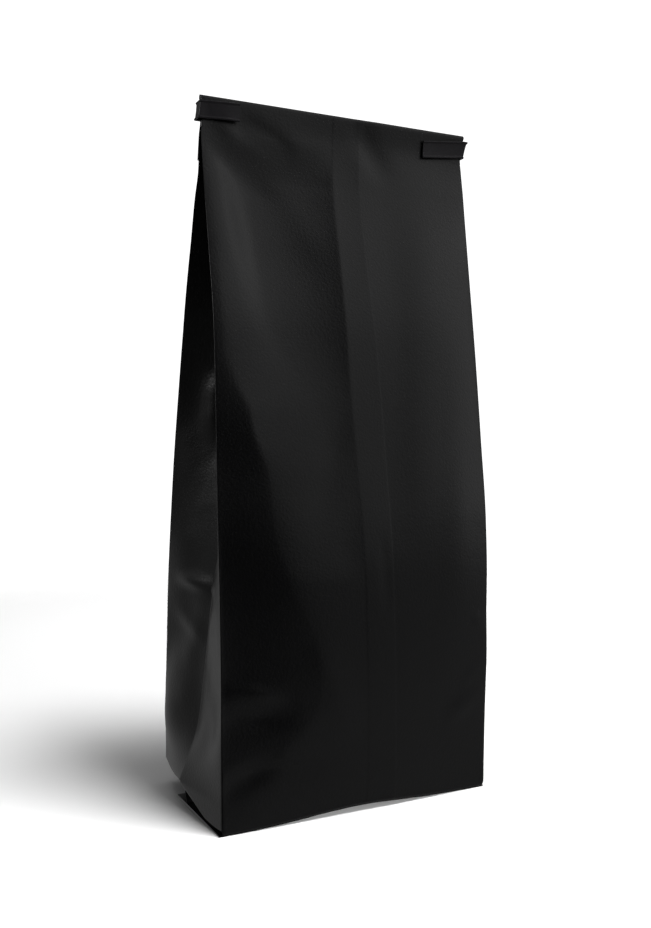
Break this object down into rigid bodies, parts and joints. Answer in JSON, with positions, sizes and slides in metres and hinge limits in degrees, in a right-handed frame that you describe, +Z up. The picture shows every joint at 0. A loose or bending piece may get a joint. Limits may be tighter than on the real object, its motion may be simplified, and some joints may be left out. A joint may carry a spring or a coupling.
{
  "type": "gusseted pouch",
  "caption": "Upright side-gusset pouch with a flat pressed top folded over and held by a bent wire tie, a lapped back seam and an opened box base.",
  "frame": {"origin": "on the floor under the middle of the opened base", "axes": "+Z up the bag; -Y out of the panel with the back seam; +X to the right when that panel is looked at"},
  "size_m": [0.1449, 0.0891, 0.3139],
  "materials": {
    "film": "satin black laminated film with soft creases",
    "tie_coating": "satin black coating over two wires"
  },
  "bodies": {
    "root": {"bag": "film", "tin_tie": "tie_coating"}
  },
  "joints": []
}
